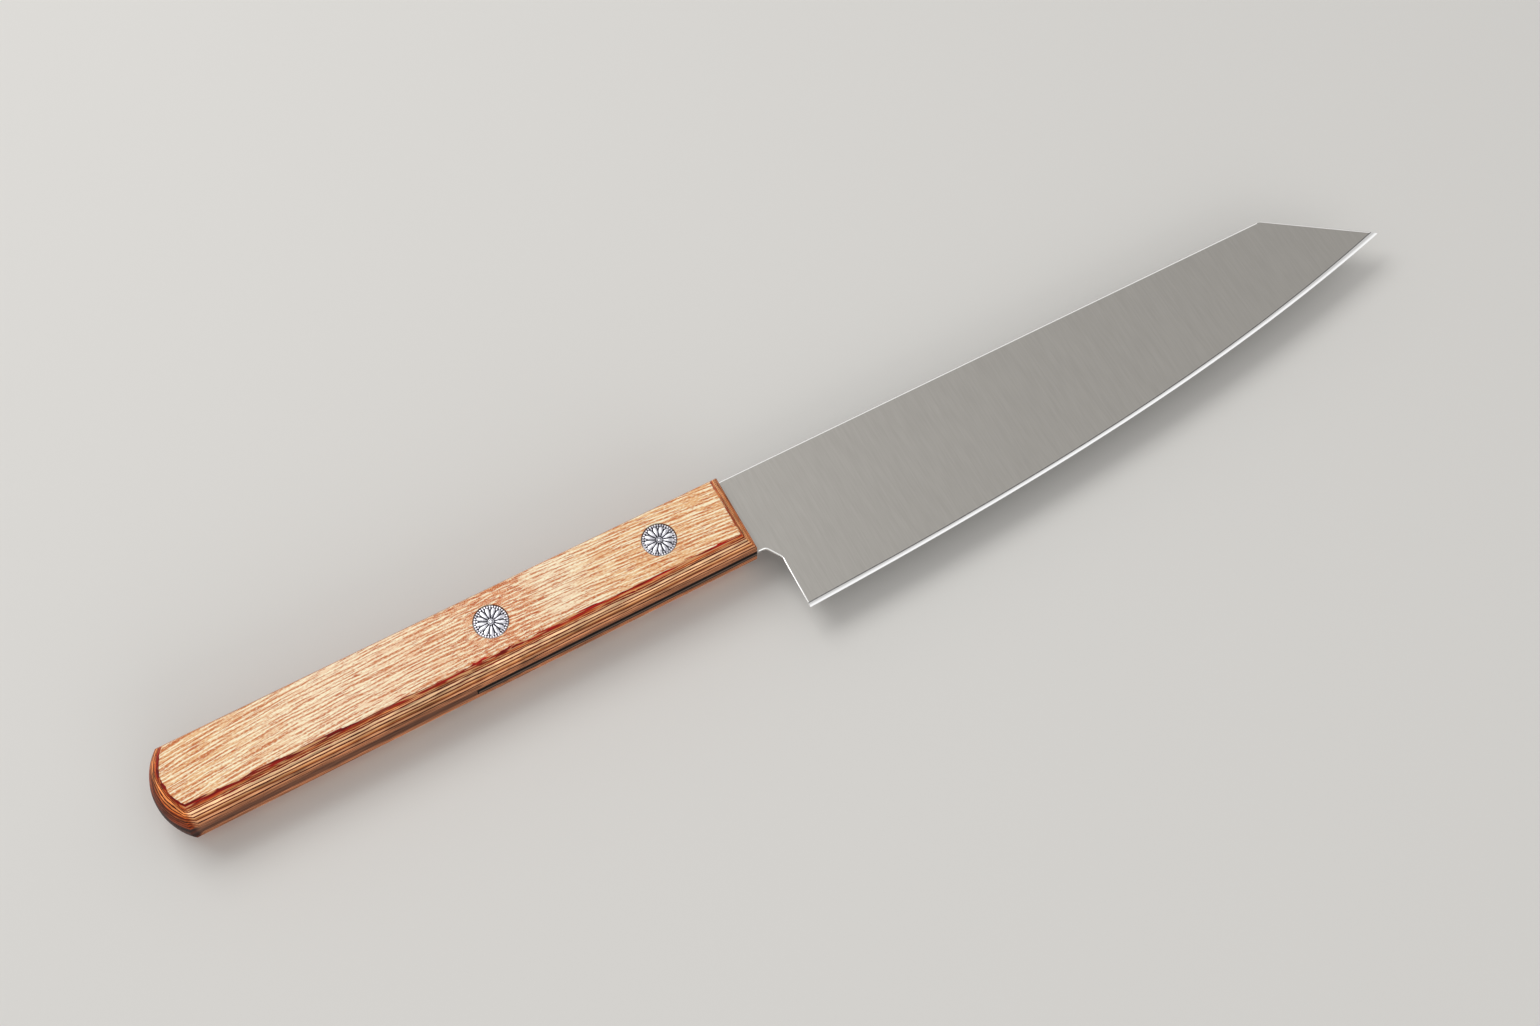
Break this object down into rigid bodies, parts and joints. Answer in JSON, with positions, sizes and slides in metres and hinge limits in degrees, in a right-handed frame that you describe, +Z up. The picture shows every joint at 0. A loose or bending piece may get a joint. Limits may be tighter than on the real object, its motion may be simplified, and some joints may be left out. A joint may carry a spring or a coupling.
{
  "type": "petty knife",
  "caption": "Petty kitchen knife with an angled tip: a flat-ground steel blade whose half tang is riveted into a slotted, chamfered handle of laminated wood.",
  "frame": {"origin": "under the middle of the knife's box, on the surface it lies on", "axes": "+X along the knife to its tip, +Y towards the spine, +Z up out of the blade's upper side"},
  "size_m": [0.2788, 0.0328, 0.015],
  "materials": {
    "blade_steel": "fine satin sides, polished spine, heel and edge bevel",
    "laminated_wood": "smooth satin, pale pink-tan faces with brown and dark red plies on the sides",
    "dark_resin": "cured, cut flush with the handle",
    "rivet_metal": "bright, with a pressed rosette on each head"
  },
  "bodies": {
    "root": {"blade": "blade_steel", "handle": "laminated_wood", "tang_adhesive": "dark_resin", "front_rivet_socket": "rivet_metal", "front_rivet_stud": "rivet_metal", "rear_rivet_socket": "rivet_metal", "rear_rivet_stud": "rivet_metal"}
  },
  "joints": []
}
